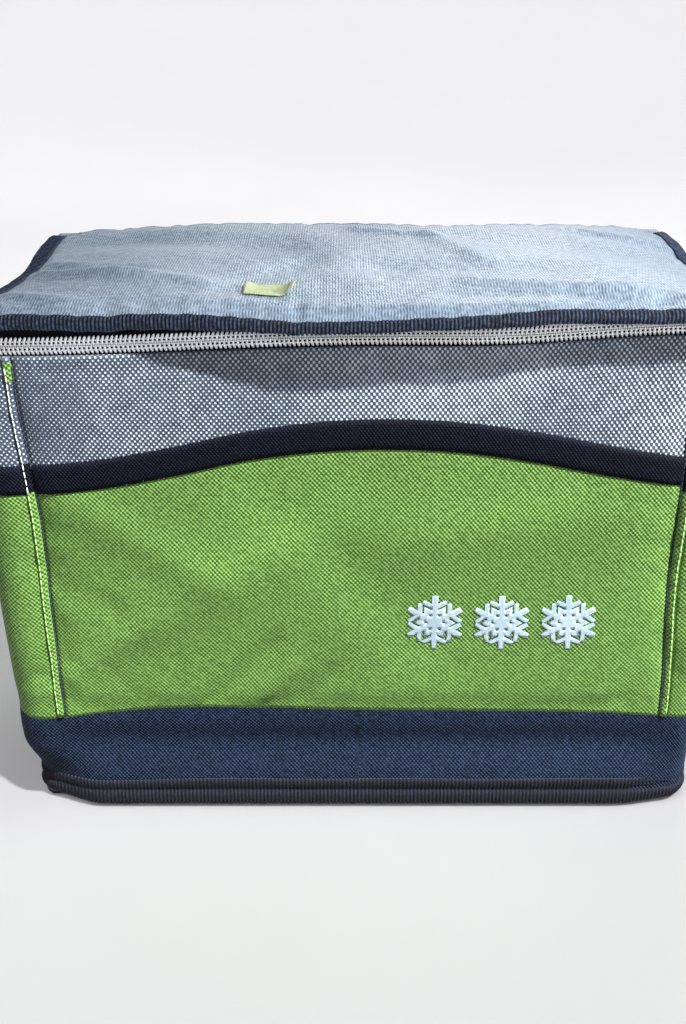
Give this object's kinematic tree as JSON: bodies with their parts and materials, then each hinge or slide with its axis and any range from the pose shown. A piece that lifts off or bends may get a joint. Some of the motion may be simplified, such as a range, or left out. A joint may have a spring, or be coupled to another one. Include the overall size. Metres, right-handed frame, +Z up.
{
  "type": "insulated cooler bag",
  "caption": "Soft rectangular cooler bag with foam-padded walls, a padded hinged lid closed by a coil zip, green panels under mesh, and side rings.",
  "frame": {"origin": "bottom centre of the bag's bounding box, on the surface that it stands on", "axes": "+Z up, -Y the front panel, +X to the right seen from the front; the lid hinges at the back, on +Y"},
  "size_m": [0.3166, 0.1604, 0.232],
  "materials": {
    "navy_fabric": "coarse navy woven polyester, coated inside",
    "navy_webbing": "ribbed navy woven binding tape",
    "green_fabric": "leaf green 600-denier woven polyester",
    "black_mesh": "open black mesh over silver-blue fabric",
    "silver_blue_fabric": "silver-blue fine woven fabric with a soft sheen",
    "lime_fabric": "pale lime woven ribbon",
    "white_print": "white heat-pressed print film",
    "liner_film": "silver heat-welded liner film",
    "foam": "closed-cell polyethylene foam",
    "stiffener_board": "flat plastic board",
    "zip_tape": "black woven zip tape",
    "zip_coil": "silver-grey nylon coil",
    "zip_metal": "dark painted die-cast metal",
    "black_plastic": "moulded black plastic"
  },
  "bodies": {
    "body": {"base_panel": "navy_fabric", "base_stiffener_board": "stiffener_board", "base_foam": "foam", "base_band": "navy_fabric", "bottom_binding": "navy_webbing", "front_wall": "silver_blue_fabric", "back_wall": "silver_blue_fabric", "left_wall": "silver_blue_fabric", "right_wall": "silver_blue_fabric", "front_foam": "foam", "back_foam": "foam", "left_foam": "foam", "right_foam": "foam", "inner_liner": "liner_film", "rim_binding": "navy_webbing", "front_green_panel": "green_fabric", "left_green_panel": "green_fabric", "right_green_panel": "green_fabric", "front_woven_band": "navy_webbing", "left_woven_band": "navy_webbing", "right_woven_band": "navy_webbing", "front_mesh_panel": "black_mesh", "left_mesh_panel": "black_mesh", "right_mesh_panel": "black_mesh", "front_left_seam_welt": "green_fabric", "front_right_seam_welt": "green_fabric", "back_left_seam_welt": "green_fabric", "back_right_seam_welt": "green_fabric", "snowflake_prints": "white_print", "zip_lower_tape": "zip_tape", "zip_lower_coil": "zip_coil", "zip_tail_coil": "zip_coil", "left_zip_end_tab": "zip_tape", "right_zip_end_tab": "zip_tape", "lid_hinge_strip": "silver_blue_fabric", "left_ring_tab": "navy_webbing", "right_ring_tab": "navy_webbing"},
    "lid": {"lid_outer_panel": "silver_blue_fabric", "lid_foam": "foam", "lid_liner": "liner_film", "lid_binding": "navy_webbing", "lid_green_tab": "lime_fabric", "zip_upper_tape": "zip_tape", "zip_upper_coil": "zip_coil"},
    "zip_slider": {"zip_slider": "zip_metal"},
    "zip_pull": {"zip_pull": "zip_metal"},
    "left_d_ring": {"left_d_ring": "black_plastic"},
    "right_d_ring": {"right_d_ring": "black_plastic"}
  },
  "joints": [
    {"name": "lid_hinge", "type": "hinge", "parent": "body", "child": "lid", "pos_m": [0, 0.07955, 0.2325], "axis": [-1, 0, 0], "range_deg": [0, 250]},
    {"name": "zip_travel", "type": "slide", "parent": "body", "child": "zip_slider", "axis": [0, -1, 0], "range_m": [0, 0.09]},
    {"name": "zip_pull_swing", "type": "hinge", "parent": "zip_slider", "child": "zip_pull", "pos_m": [0.15335, 0.0575, 0.2185], "axis": [0, 0, 1], "range_deg": [0, 170]},
    {"name": "left_ring_swing", "type": "hinge", "parent": "body", "child": "left_d_ring", "pos_m": [-0.1552, 0.00185, 0.18], "axis": [0, 1, 0], "range_deg": [0, 160]},
    {"name": "right_ring_swing", "type": "hinge", "parent": "body", "child": "right_d_ring", "pos_m": [0.1552, 0.00185, 0.18], "axis": [0, -1, 0], "range_deg": [0, 160]}
  ]
}
